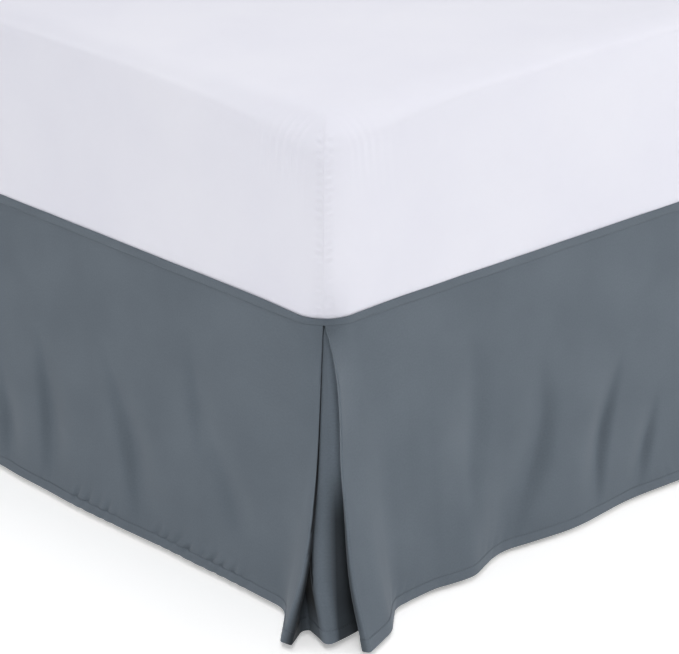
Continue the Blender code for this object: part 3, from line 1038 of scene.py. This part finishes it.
@dataclass
class Skirt:
    """The deck and the three drops, with their seams, hems and stitching."""

    width: float = 1.524
    length: float = 2.032
    cloth: float = 1.0 * MM
    hem_cloth: float = 2.4 * MM
    drop_top: float = 0.3858
    hem_height: float = 0.008
    hem_depth: float = 13.0
    fine_step: float = 3.6
    coarse_step: float = 7.0
    row_step: float = 6.8
    face_inset: float = 0.6
    left_fine_to: float = 680.0
    foot_fine_to: float = 690.0
    right_fine_to: float = 160.0
    far_opening: float = 0.9
    seam_gap: float = 0.5
    stitch_pitch: float = 3.4
    stitch_length: float = 2.5
    stitch_radius: float = 0.38
    stitch_lift: float = 0.72
    stitch_dent: float = 0.22
    slack: float = 1.1
    fine_slack: float = 0.25
    deck_inset: float = 0.5 * MM
    corner_radius: float = 45 * MM
    deck_height: float = 0.3869
    deck_seam: float = 10 * MM
    rim_cuts: int = 160
    corner_segments: int = 14
    corner_dip: float = 0.42
    dip_reach: float = 70 * MM
    roll_wave: float = 0.06
    clear_of_hem: float = 2.0
    seed: int = 11

    def heights(self) -> list[float]:
        """Lists the cloth's rows, from the seam down, closer together at both ends.

        Returns:
            Their heights above the hem's edge, in millimetres.
        """
        tall = (self.drop_top - self.hem_height) / MM
        seam = [tall, tall - 1.5, tall - 3.5, tall - 6, tall - 9.5, tall - 14]
        hem = [32, 27, 23, 19.5, 17, 15.2, 14.2, 13.6, 13.0, 12.4, 11.6, 9.0, 5.0, 2.0, 0.7, 0.0]
        count = round((seam[-1] - hem[0]) / self.row_step)
        between = [seam[-1] + (hem[0] - seam[-1]) * i / count for i in range(1, count)]
        return seam + between + hem

    def plan_lines(self, down: float) -> tuple[list[Vector], list[Vector], list[Vector]]:
        """The plan lines of the three drops at one height, each with its face to its right.

        Args:
            down: 0 at the seam, 1 at the hem.

        Returns:
            The points of the left, foot and right drops, in corner coordinates.
        """
        across = self.width / MM
        inset = self.face_inset
        left_panel = Panel(LEFT_HEM, LEFT_TROUGHS, SIDE_JOIN, SIDE_END, self.left_fine_to)
        right_panel = Panel(RIGHT_HEM, RIGHT_TROUGHS, SIDE_JOIN, SIDE_END, self.right_fine_to)
        foot_panel = Panel(FOOT_HEM, FOOT_TROUGHS, FOOT_JOIN, FOOT_END, self.foot_fine_to)
        sides = []
        for panel in (left_panel, right_panel):
            places = panel.places(self.fine_step, self.coarse_step)
            sides.append([Vector((inset - panel.outward(a, down), a)) for a in reversed(places)])
        foot = [
            Vector((a, inset - foot_panel.outward(a, down)))
            for a in foot_panel.places(self.fine_step, self.coarse_step)
        ]
        left, right = sides
        far_end = Vector((across - foot[-1].x, foot[-1].y))
        pleat, cut = CornerPleat().section(left[-1], foot[0], down)
        other, other_cut = CornerPleat(self.far_opening).section(right[-1], far_end, down)
        far = [Vector((across - p.x, p.y)) for p in other]
        right = [Vector((across - p.x, p.y)) for p in right]
        return (
            self.trimmed(left + pleat[1:cut]),
            pleat[cut - 1 :] + foot[1:-1] + far[other_cut - 1 :][::-1],
            self.trimmed(right + far[1:other_cut])[::-1],
        )

    def pleat_painted_shades(self, columns: int, down: float, near: bool, far: bool) -> list[float]:
        """How much painted shade from a corner pleat each point of a drop's line gets.

        Args:
            columns: How many points the line has.
            down: 0 at the seam, 1 at the hem.
            near: Whether the line begins in a pleat.
            far: Whether the line ends in a pleat.

        Returns:
            A painted shade value for each point, 0 on the panel.
        """
        pleat = CornerPleat()
        whole = pleat.painted_shades(down)
        cut = pleat.section(Vector((0, SIDE_JOIN)), Vector((FOOT_JOIN, 0)), down)[1]
        part = whole[cut - 1 :] if near and far else whole[:cut][::-1]
        values = [0.0] * columns
        if near:
            values[: len(part)] = part
        if far:
            values[-len(part) :] = part[::-1]
        return values

    def trimmed(self, points: list[Vector]) -> list[Vector]:
        """The points with the last drawn back, so that the seam's two edges stay apart."""
        back = (points[-2] - points[-1]).normalized() * self.seam_gap
        return [*points[:-1], points[-1] + back]

    def runs(self, line: list[Vector], axis: int, join: float, sign: int) -> list[float]:
        """The cloth's distances along a hem, which count from the foot corner on the panel.

        Args:
            line: The hem's plan line.
            axis: The axis along the panel, 0 or 1.
            join: Where the panel begins.
            sign: 1 if the line runs away from the foot corner, -1 if towards it.

        Returns:
            A distance for each point, which differs from its place only by the waves.
        """
        anchor = min(range(len(line)), key=lambda i: abs(line[i][axis] - join))
        lengths = [0.0]
        for before, after in zip(line, line[1:]):
            lengths.append(lengths[-1] + (after - before).length)
        return [join + sign * (length - lengths[anchor]) for length in lengths]

    def relief(self, run: float, height: float, puckers: tuple[Puckers, ...]) -> float:
        """How far the cloth stands out of its plain surface.

        Args:
            run: Distance along the hem, in millimetres.
            height: Height above the hem's edge, in millimetres.
            puckers: The stretches where the hem is drawn up.

        Returns:
            The distance in millimetres, negative inwards.
        """
        above = height - self.hem_depth
        line = -self.stitch_dent * bell(above, 0.8)
        # A pucker is deepest just above the stitches and dies out upwards
        rise = bell(above - 3.0, 15.0) if above > 3.0 else 0.35 + 0.65 * smooth(-6.0, 3.0, above)
        drawn = 0.0
        for group in puckers:
            window = smooth(group.start - 12, group.start + 12, run)
            window *= 1 - smooth(group.end - 12, group.end + 12, run)
            if window > 0:
                uneven = noise.noise(Vector((run / 37.0, 3.1, self.seed)))
                phase = 2 * math.pi * (run + group.lean * above) / group.pitch + 3.2 * uneven
                strength = 0.75 + 0.9 * noise.noise(Vector((run / 26.0, 8.7, self.seed)))
                drawn += group.depth * strength * window * (0.5 + 0.5 * math.cos(phase)) ** 2
        slack = noise.noise(Vector((run / 85.0, height / 190.0, self.seed)))
        small = noise.noise(Vector((run / 31.0, height / 75.0, self.seed + 5)))
        hang = 1 - height * MM / (self.drop_top - self.hem_height)
        loose = slack * self.slack * hang + small * self.fine_slack * (0.3 + 0.7 * hang)
        return line - drawn * rise + loose

    def drop(
        self,
        name: str,
        lines: list[list[Vector]],
        runs: list[float],
        painted_shades: list[list[float]],
        puckers: tuple[Puckers, ...],
        centre: Vector,
        material: bpy.types.Material,
    ) -> tuple[bpy.types.Object, list[tuple[Vector, Vector, float]]]:
        """Builds a drop from its plan lines.

        Args:
            name: The piece's name.
            lines: The plan line of each row, from the seam down.
            runs: The cloth's distance along the hem at each column.
            painted_shades: How much painted pleat shade each column gets, for each row.
            puckers: The stretches where the hem is drawn up.
            centre: The bed's centre.
            material: The cloth.

        Returns:
            The drop, and the cloth's place, normal and painted pleat shade along the stitching.
        """
        heights = self.heights()
        columns = len(lines[0])
        bm = bmesh.new()
        bmesh.ops.create_grid(bm, x_segments=columns - 1, y_segments=len(heights) - 1, size=1.0)
        bm.verts.ensure_lookup_table()
        thick = bm.verts.layers.deform.verify()
        shade = bm.verts.layers.float.new("pleat_painted_shade")
        uv = bm.loops.layers.uv.new("cloth")
        cells = []
        for vert in bm.verts:
            column = round((vert.co.x + 1) / 2 * (columns - 1))
            row = round((1 - vert.co.y) / 2 * (len(heights) - 1))
            cells.append((column, row))
        for vert, (column, row) in zip(bm.verts, cells):
            point = lines[row][column] * MM
            vert.co = (
                centre.x + point.x - self.width / 2,
                centre.y + point.y - self.length / 2,
                self.hem_height + heights[row] * MM,
            )
        bm.normal_update()
        normals = [vert.normal.copy() for vert in bm.verts]
        for vert, normal, (column, row) in zip(bm.verts, normals, cells):
            vert.co += normal * self.relief(runs[column], heights[row], puckers) * MM
            turned = smooth(self.hem_depth + 0.4, self.hem_depth - 0.6, heights[row])
            vert[thick][0] = turned * (0.45 if heights[row] < 0.5 else 1.0)
            # The painted pleat shade is stored on each point for the material
            vert[shade] = painted_shades[row][column]
        for face in bm.faces:
            for loop in face.loops:
                column, row = cells[loop.vert.index]
                loop[uv].uv = (runs[column] * MM, heights[row] * MM)
        bm.normal_update()
        stitch_row = heights.index(self.hem_depth)
        track = [
            (column, vert.co.copy(), vert.normal.copy(), vert[shade])
            for vert, (column, row) in zip(bm.verts, cells)
            if row == stitch_row
        ]
        track.sort(key=lambda item: item[0])
        obj = finished_piece(name, bm, material)
        obj.vertex_groups.new(name="turned hem")
        shell = obj.modifiers.new("cloth thickness", "SOLIDIFY")
        shell.thickness = self.hem_cloth
        shell.offset = 0.0
        shell.use_even_offset = True
        shell.vertex_group = "turned hem"
        shell.thickness_vertex_group = self.cloth / self.hem_cloth
        return obj, [item[1:] for item in track]

    def stitching(
        self,
        name: str,
        track: list[tuple[Vector, Vector, float]],
        material: bpy.types.Material,
    ) -> bpy.types.Object:
        """Sews the hem: one short thread for each stitch, sunk in the cloth at both ends.

        Args:
            name: The piece's name.
            track: The cloth's place, normal and painted pleat shade along the stitching.
            material: The thread.

        Returns:
            The stitches, as one piece.
        """
        bm = bmesh.new()
        shade = bm.verts.layers.float.new("pleat_painted_shade")
        pitch = self.stitch_pitch * MM
        travelled = 0.0
        due = pitch
        for (place, normal, depth), (after, _, _) in zip(track, track[1:]):
            leg = after - place
            while leg.length > 0 and travelled + leg.length >= due:
                spot = place + leg * ((due - travelled) / leg.length)
                along = leg.normalized()
                side = normal.cross(along).normalized()
                turn = Matrix((side, normal, along)).transposed().to_4x4()
                lift = Matrix.Translation(spot + normal * self.stitch_lift * MM)
                made = bmesh.ops.create_cone(
                    bm,
                    cap_ends=True,
                    segments=6,
                    radius1=self.stitch_radius * MM,
                    radius2=self.stitch_radius * MM,
                    depth=self.stitch_length * MM,
                    matrix=lift @ turn,
                )
                # Each stitch takes the painted pleat shade of the cloth under it
                for vert in made["verts"]:
                    vert[shade] = depth
                due += pitch
            travelled += leg.length
        return finished_piece(name, bm, material)

    def deck(self, centre: Vector, material: bpy.types.Material) -> bpy.types.Object:
        """Builds the deck, whose edge turns down over the drops and curls in to the seam.

        Args:
            centre: The bed's centre.
            material: The cloth.

        Returns:
            The deck.
        """
        wide, long = self.width - 2 * self.deck_inset, self.length - 2 * self.deck_inset
        radius = self.corner_radius - self.deck_inset
        bm = bmesh.new()
        bmesh.ops.create_grid(bm, x_segments=1, y_segments=1, size=0.5)
        bmesh.ops.scale(bm, vec=(wide, long, 1.0), verts=bm.verts)
        bmesh.ops.bevel(
            bm,
            geom=bm.verts[:],
            offset=radius,
            segments=self.corner_segments,
            profile=0.5,
            affect="VERTICES",
        )
        rim = [edge for edge in bm.edges if edge.is_boundary]
        # The four long edges, not the short ones of the corners
        straight = [edge for edge in rim if edge.calc_length() > 0.1]
        bmesh.ops.subdivide_edges(bm, edges=straight, cuts=self.rim_cuts)
        edges = [edge for edge in bm.edges if edge.is_boundary]
        before = (0.0, 0.0)
        for out, down in [(out * MM, down * MM) for out, down in SEAM_ROLL]:
            made = bmesh.ops.extrude_edge_only(bm, edges=edges)["geom"]
            edges = [item for item in made if isinstance(item, bmesh.types.BMEdge)]
            for vert in [item for item in made if isinstance(item, bmesh.types.BMVert)]:
                inner_x, inner_y = wide / 2 + before[0] - radius, long / 2 + before[0] - radius
                near = Vector(
                    (
                        max(-inner_x, min(inner_x, vert.co.x)),
                        max(-inner_y, min(inner_y, vert.co.y)),
                    )
                )
                vert.co.xy += (vert.co.xy - near).normalized() * (out - before[0])
                vert.co.z -= down - before[1]
            before = (out, down)
            radius = self.corner_radius - self.deck_inset + out
        for vert in bm.verts:
            wave = noise.noise(Vector((vert.co.x * 14, vert.co.y * 14, self.seed)))
            corner = math.hypot(self.width / 2 - abs(vert.co.x), self.length / 2 - abs(vert.co.y))
            if vert.co.z > 0:
                dip = self.corner_dip * bell(corner, self.dip_reach)
                vert.co.z *= 1 - dip + self.roll_wave * wave
            elif vert.co.z < -MM:
                vert.co.z += 0.3 * MM * wave
        bmesh.ops.triangulate(bm, faces=[face for face in bm.faces if len(face.verts) > 4])
        bmesh.ops.recalc_face_normals(bm, faces=bm.faces)
        bmesh.ops.translate(bm, vec=(centre.x, centre.y, self.deck_height), verts=bm.verts)
        uv = bm.loops.layers.uv.new("cloth")
        # The UV map is moved clear of the band that is toned as a hem
        for face in bm.faces:
            for loop in face.loops:
                co = loop.vert.co
                loop[uv].uv = (co.x + co.z, co.y + self.clear_of_hem)
        obj = finished_piece("skirt_deck", bm, material)
        shell = obj.modifiers.new("cloth thickness", "SOLIDIFY")
        shell.thickness = self.cloth
        shell.offset = 0.0
        return obj

    def build(self, centre: Vector) -> None:
        """Builds all of the skirt.

        Args:
            centre: The bed's centre.
        """
        cloth = Microfibre().material()
        thread = SewingThread().material()
        deck = self.deck(centre, cloth)
        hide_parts("platform")
        tall = (self.drop_top - self.hem_height) / MM
        downs = [1 - height / tall for height in self.heights()]
        rows = [self.plan_lines(down) for down in downs]
        left, foot, right = (list(lines) for lines in zip(*rows))
        plans = (
            ("side_drop_left", left, self.runs(left[-1], 1, SIDE_JOIN, -1), LEFT_PUCKERS),
            ("foot_drop", foot, self.runs(foot[-1], 0, FOOT_JOIN, 1), FOOT_PUCKERS),
            ("side_drop_right", right, self.runs(right[-1], 1, SIDE_JOIN, 1), RIGHT_PUCKERS),
        )
        for node, lines, runs, puckers in plans:
            name = node.replace("drop", "cloth")
            near, far = node != "side_drop_left", node != "side_drop_right"
            painted_shades = [self.pleat_painted_shades(len(lines[0]), down, near, far) for down in downs]
            obj, track = self.drop(name, lines, runs, painted_shades, puckers, centre, cloth)
            sewn = self.stitching(f"{node}_hem_stitches", track, thread)
            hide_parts(node)


# The bed under the skirt


@dataclass
class Mattress:
    """The mattress in its white fitted sheet, drawn tight, with a sewn seam up each corner."""

    width: float = 1.524
    length: float = 2.032
    height: float = 0.254
    bottom: float = 0.3876
    corner: float = 45 * MM
    top_edge: float = 16 * MM
    corner_top_edge: float = 42 * MM
    bottom_edge: float = 4 * MM
    crown: float = 18 * MM
    crown_reach: float = 210 * MM
    peak: float = 4.2
    plan_band: float = 120 * MM
    plan_cells: int = 44
    upright_band: float = 75 * MM
    upright_cells: int = 22
    upright_cell: float = 3 * MM
    coarse_cell: float = 26 * MM
    crowding: float = 1.3
    gather_pitch: float = 12 * MM
    side_gathers: float = 1.7 * MM
    foot_gathers: float = 0.4 * MM
    pucker_pitch: float = 10.5 * MM
    pucker_depth: float = 1.2 * MM
    slack: float = 1.0 * MM
    corner_spread: float = 150 * MM
    seed: int = 4

    def spread(self, share: float, size: float, band: float, cells: tuple[int, int]) -> float:
        """Places an even cut so that cuts stand close at both ends.

        Args:
            share: Where the cut is, from -0.5 to 0.5.
            size: The block's size.
            band: How far the close cuts reach from each end.
            cells: How many cells each band and the middle have.

        Returns:
            The cut's place.
        """
        ends, middle = cells
        index = (share + 0.5) * (2 * ends + middle)
        half = size / 2
        if index <= ends:
            return -half + band * (index / ends) ** self.crowding
        if index >= ends + middle:
            left = max(0.0, 2 * ends + middle - index)
            return half - band * (left / ends) ** self.crowding
        return -half + band + (size - 2 * band) * (index - ends) / middle

    def rounded(self, place: Vector) -> Vector:
        """Moves a point of the block onto its rounded form.

        The sheet's corner seam draws it flat towards the seam, so the corner is round at the bottom
        and comes to a soft ridge higher up.

        Args:
            place: The point on the block.

        Returns:
            The point on the mattress.
        """
        half = Vector((self.width / 2, self.length / 2, self.height / 2))
        away = math.hypot(half.x - abs(place.x), half.y - abs(place.y))
        edge = self.bottom_edge
        if place.z > 0:
            wider = self.corner_top_edge - self.top_edge
            edge = self.top_edge + wider * bell(away, self.corner_spread)
        reach = Vector((self.corner, self.corner, edge))
        inner = Vector([max(-h + r, min(h - r, p)) for p, h, r in zip(place, half, reach)])
        out = Vector([(p - q) / r for p, q, r in zip(place, inner, reach)])
        if out.length < 1e-9:
            return place
        out.normalize()
        flatness = 1 + (self.peak - 1) * smooth(-half.z + 8 * MM, -half.z + 80 * MM, place.z)
        turn = math.atan2(min(abs(out.x), abs(out.y)), max(abs(out.x), abs(out.y), 1e-9))
        base = (1 - flatness) * math.cos(turn)
        stretch = base + math.sqrt(base * base + 2 * flatness - 1)
        out.x, out.y = out.x * stretch, out.y * stretch
        result = inner + Vector([o * r for o, r in zip(out, reach)])
        if place.z > 0:
            away = math.hypot(half.x - abs(result.x), half.y - abs(result.y))
            fall = self.crown * math.exp(-away / self.crown_reach)
            result.z -= fall * smooth(0.0, half.z, result.z)
        return result

    def relief(self, place: Vector) -> float:
        """How far the sheet stands off its plain form by its seams, puckers and gathers.

        Args:
            place: A point on the plain form, from the mattress's middle.

        Returns:
            The distance in metres, negative inwards.
        """
        half_x, half_y, half_z = self.width / 2, self.length / 2, self.height / 2
        near_x, near_y = half_x - abs(place.x), half_y - abs(place.y)
        across = (near_y - near_x) / math.sqrt(2)
        depth = (near_x + near_y) / math.sqrt(2)
        low = smooth(half_z + 6 * MM, half_z - 34 * MM, place.z)
        at_corner = bell(max(0.0, depth - 10 * MM), 16 * MM)
        seam = -0.25 * MM * bell(across, 1.8 * MM)
        shift = 1.2 if across > 0 else 0.0
        beat = math.sin(2 * math.pi * place.z / self.pucker_pitch + shift)
        puckers = self.pucker_depth * beat * bell(abs(across) - 6 * MM, 4 * MM)
        result = (seam + puckers) * low * at_corner
        edge = smooth(70 * MM, 20 * MM, min(near_x, near_y))
        along = max(near_x, near_y)
        fan = place.z - (half_z - 52 * MM)
        uneven = 2.5 * noise.noise(Vector((along / 0.03, place.z / 0.08, self.seed)))
        gathers = math.sin(2 * math.pi * (along + 0.12 * fan) / self.gather_pitch + uneven)
        strength = 0.5 + noise.noise(Vector((along / 0.045, place.z / 0.09, self.seed + 3)))
        on_side = smooth(-20 * MM, 20 * MM, near_y - near_x)
        strength *= self.foot_gathers + (self.side_gathers - self.foot_gathers) * on_side
        reach = smooth(4 * MM, 26 * MM, along) * bell(along, 130 * MM) * bell(fan, 38 * MM)
        result += strength * gathers * edge * reach
        return result + self.slack * noise.noise(place * 5.0 + Vector((0, 0, self.seed)))

    def build(self, centre: Vector) -> bpy.types.Object:
        """Builds the mattress.

        Args:
            centre: The bed's centre.

        Returns:
            The mattress.
        """
        sizes = (self.width, self.length, self.height)
        bands = (self.plan_band, self.plan_band, self.upright_band)
        coarse = (self.coarse_cell, self.coarse_cell, self.upright_cell)
        ends = (self.plan_cells, self.plan_cells, self.upright_cells)
        middles = [round((s - 2 * b) / c) for s, b, c in zip(sizes, bands, coarse)]
        bm = bmesh.new()
        bmesh.ops.create_cube(bm, size=1.0)
        for axis in range(3):
            along = [e for e in bm.edges if abs(e.verts[0].co[axis] - e.verts[1].co[axis]) > 0.5]
            cuts = 2 * ends[axis] + middles[axis] - 1
            bmesh.ops.subdivide_edges(bm, edges=along, cuts=cuts, use_grid_fill=True)
        for vert in bm.verts:
            rows = zip(vert.co, sizes, bands, zip(ends, middles))
            vert.co = self.rounded(Vector([self.spread(*row) for row in rows]))
        bm.normal_update()
        for vert, normal in [(vert, vert.normal.copy()) for vert in bm.verts]:
            if vert.co.z > -self.height / 2 + 1 * MM:
                vert.co += normal * self.relief(vert.co)
        middle = self.bottom + self.height / 2
        bmesh.ops.translate(bm, vec=(centre.x, centre.y, middle), verts=bm.verts)
        obj = finished_piece("mattress_in_sheet", bm, CottonSheeting().material())
        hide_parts("mattress")
        return obj


@dataclass
class BoxSpring:
    """The box spring in its ticking, with a welt round its top and bottom edges."""

    corner: float = 34.5 * MM
    edge: float = 10 * MM
    welt: float = 3.2 * MM
    turn_steps: int = 6

    def welt_ring(self, bm: bmesh.types.BMesh, half: Vector, height: float) -> None:
        """Adds a welt as a tube round the box spring.

        Args:
            bm: The box spring's mesh, centred on the bed.
            half: Half the box spring's width and length.
            height: The welt's height.
        """
        made = bmesh.ops.create_circle(bm, radius=self.welt, segments=8)["verts"]
        bmesh.ops.rotate(bm, verts=made, matrix=Matrix.Rotation(math.pi / 2, 3, "X"))
        bmesh.ops.translate(bm, verts=made, vec=(half.x - 0.6 * self.welt, 0.0, height))
        ring = {vert: None for vert in made}
        edges = [e for e in bm.edges if e.verts[0] in ring and e.verts[1] in ring]
        first, verts = edges, made
        quarter = ((1, 1), (-1, 1), (-1, -1), (1, -1))
        for index, (sx, sy) in enumerate(quarter):
            pivot = Vector((sx * (half.x - self.corner), sy * (half.y - self.corner), height))
            place = sum((vert.co for vert in verts), Vector()) / len(verts)
            straight = pivot - place
            straight[1 - (index + 1) % 2] = 0.0
            edges, verts = self.extruded(bm, edges, straight)
            for _ in range(self.turn_steps):
                edges, verts = self.extruded(bm, edges, Vector())
                turn = Matrix.Rotation(math.pi / 2 / self.turn_steps, 3, "Z")
                bmesh.ops.rotate(bm, verts=verts, cent=pivot, matrix=turn)
        bmesh.ops.bridge_loops(bm, edges=edges + first)

    def extruded(
        self, bm: bmesh.types.BMesh, edges: list, step: Vector
    ) -> tuple[list[bmesh.types.BMEdge], list[bmesh.types.BMVert]]:
        """Extrudes a loop of edges by a step.

        Args:
            bm: The mesh.
            edges: The loop.
            step: How far it moves.

        Returns:
            The new loop's edges and corners.
        """
        made = bmesh.ops.extrude_edge_only(bm, edges=edges)["geom"]
        verts = [item for item in made if isinstance(item, bmesh.types.BMVert)]
        bmesh.ops.translate(bm, verts=verts, vec=step)
        new = set(verts)
        loop = [
            item
            for item in made
            if isinstance(item, bmesh.types.BMEdge) and all(v in new for v in item.verts)
        ]
        return loop, verts

    def build(self) -> bpy.types.Object:
        """Builds the box spring in the place of its solid.

        Returns:
            The box spring.
        """
        low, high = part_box("box_spring")
        size, centre = high - low, (low + high) / 2
        bm = bmesh.new()
        bmesh.ops.create_cube(bm, size=1.0)
        bmesh.ops.scale(bm, vec=size, verts=bm.verts)
        upright = [e for e in bm.edges if abs(e.verts[0].co.z - e.verts[1].co.z) > size.z / 2]
        bmesh.ops.bevel(
            bm, geom=upright, offset=self.corner, segments=8, profile=0.5, affect="EDGES"
        )
        for height in (size.z / 2, -size.z / 2):
            rim = [e for e in bm.edges if all(abs(v.co.z - height) < MM for v in e.verts)]
            bmesh.ops.bevel(bm, geom=rim, offset=self.edge, segments=4, profile=0.5, affect="EDGES")
        half = Vector((size.x / 2, size.y / 2))
        for height in (size.z / 2 - self.edge, -size.z / 2 + self.edge):
            self.welt_ring(bm, half, height)
        bmesh.ops.recalc_face_normals(bm, faces=bm.faces)
        bmesh.ops.translate(bm, vec=centre, verts=bm.verts)
        obj = finished_piece("box_spring_in_ticking", bm, Ticking().material())
        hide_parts("box_spring")
        return obj


class BedFrame:
    """The steel frame and its glides, which keep their solids."""

    def dress(self) -> None:
        """Gives each rail, leg and glide its finish."""
        steel, plastic = PowderCoat().material(), MouldedPlastic().material()
        for name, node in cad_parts.items():
            if name.startswith(("side_rail", "cross_rail", "leg_")):
                self.finish(node, steel)
            elif name.startswith("glide_"):
                self.finish(node, plastic)

    def finish(self, node: bpy.types.Object, material: bpy.types.Material) -> None:
        """Puts a finish in every material slot of a node."""
        for slot in node.material_slots:
            slot.material = material
        LOG.info("%s: %s", node.name, material.name)


# The studio


# Each soft box's place and target from the bed's centre, side and power
LIGHTS = (
    ("side box, left", (-5.5, 4.6, 2.3), (-0.7, -0.8, 0.25), 1.4, 148.0),
    ("side box, right", (2.6, -3.0, 1.7), (-0.6, -0.9, 0.25), 1.0, 69.0),
    ("front box", (-2.2, -2.6, 2.7), (-0.6, -0.9, 0.25), 1.2, 38.0),
    ("box overhead", (-0.3, -0.3, 4.2), (-0.3, -0.3, 0.0), 3.0, 84.0),
)


@dataclass
class Studio:
    """The floor, the light and the camera."""

    floor_size: float = 30.0
    corner: Point = (-0.762, -1.016)
    offset: tuple[float, float, float] = (-2.0186, -2.1788, 1.5681)
    pitch: float = 21.64
    yaw: float = 46.83
    roll: float = 0.159
    focal_px: float = 2788.3
    image_px: float = 679.0
    sensor: float = 36.0
    surround: float = 0.1

    def floor(self) -> None:
        """Lays the plain floor."""
        bm = bmesh.new()
        bmesh.ops.create_grid(bm, x_segments=1, y_segments=1, size=self.floor_size / 2)
        mesh = bpy.data.meshes.new("studio_floor")
        bm.to_mesh(mesh)
        bm.free()
        mesh.materials.append(StudioFloor().material())
        floor = bpy.data.objects.new("studio_floor", mesh)
        bpy.context.scene.collection.objects.link(floor)

    def light(
        self, name: str, place: Vector, target: Vector, size: float, power: float
    ) -> None:
        """Adds a square soft light.

        Args:
            name: The light's name.
            place: Where it is.
            target: Where it points.
            size: Its side.
            power: Its power in watts.
        """
        data = bpy.data.lights.new(name, "AREA")
        data.size = size
        data.energy = power
        lamp = bpy.data.objects.new(name, data)
        lamp.location = place
        lamp.rotation_euler = (target - place).to_track_quat("-Z", "Y").to_euler()
        bpy.context.scene.collection.objects.link(lamp)

    def lights(self, centre: Vector) -> None:
        """Sets the even surrounding light and the soft boxes.

        Args:
            centre: The bed's centre.
        """
        world = bpy.data.worlds.new("studio")
        bpy.context.scene.world = world
        world.use_nodes = True
        background = world.node_tree.nodes["Background"]
        background.inputs["Color"].default_value = (1.0, 1.0, 1.0, 1.0)
        background.inputs["Strength"].default_value = self.surround
        for name, place, target, size, power in LIGHTS:
            self.light(name, centre + Vector(place), centre + Vector(target), size, power)

    def camera(self, centre: Vector) -> None:
        """Sets the camera at the photograph's angle.

        Args:
            centre: The bed's centre.
        """
        pitch, yaw, roll = (math.radians(a) for a in (self.pitch, self.yaw, self.roll))
        forward = Vector(
            (math.cos(yaw) * math.cos(pitch), math.sin(yaw) * math.cos(pitch), -math.sin(pitch))
        )
        level = Vector((math.sin(yaw), -math.cos(yaw), 0.0))
        upward = level.cross(forward)
        right = level * math.cos(roll) + upward * math.sin(roll)
        up = upward * math.cos(roll) - level * math.sin(roll)
        turn = Matrix((right, up, -forward)).transposed().to_4x4()
        place = Vector((centre.x + self.corner[0], centre.y + self.corner[1], 0.0))
        data = bpy.data.cameras.new("camera")
        data.sensor_fit = "HORIZONTAL"
        data.sensor_width = self.sensor
        data.lens = self.sensor * self.focal_px / self.image_px
        data.clip_end = 60.0
        camera = bpy.data.objects.new("camera", data)
        camera.matrix_world = Matrix.Translation(place + Vector(self.offset)) @ turn
        bpy.context.scene.collection.objects.link(camera)
        bpy.context.scene.camera = camera

    def build(self, centre: Vector) -> None:
        """Builds the studio round the bed's centre."""
        self.floor()
        self.lights(centre)
        self.camera(centre)
        bpy.context.scene.view_settings.view_transform = "Standard"


def bed_centre() -> Vector:
    """The middle of the bed at the floor, from the deck's solid."""
    low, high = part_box("platform")
    return Vector(((low.x + high.x) / 2, (low.y + high.y) / 2, 0.0))


def main() -> None:
    """Builds the looks in the order in which the bed is made."""
    logging.basicConfig(level=logging.INFO, format="%(name)s: %(message)s")
    centre = bed_centre()
    Studio().build(centre)
    BedFrame().dress()
    BoxSpring().build()
    Skirt().build(centre)
    Mattress().build(centre)


if __name__ == "__main__":
    main()
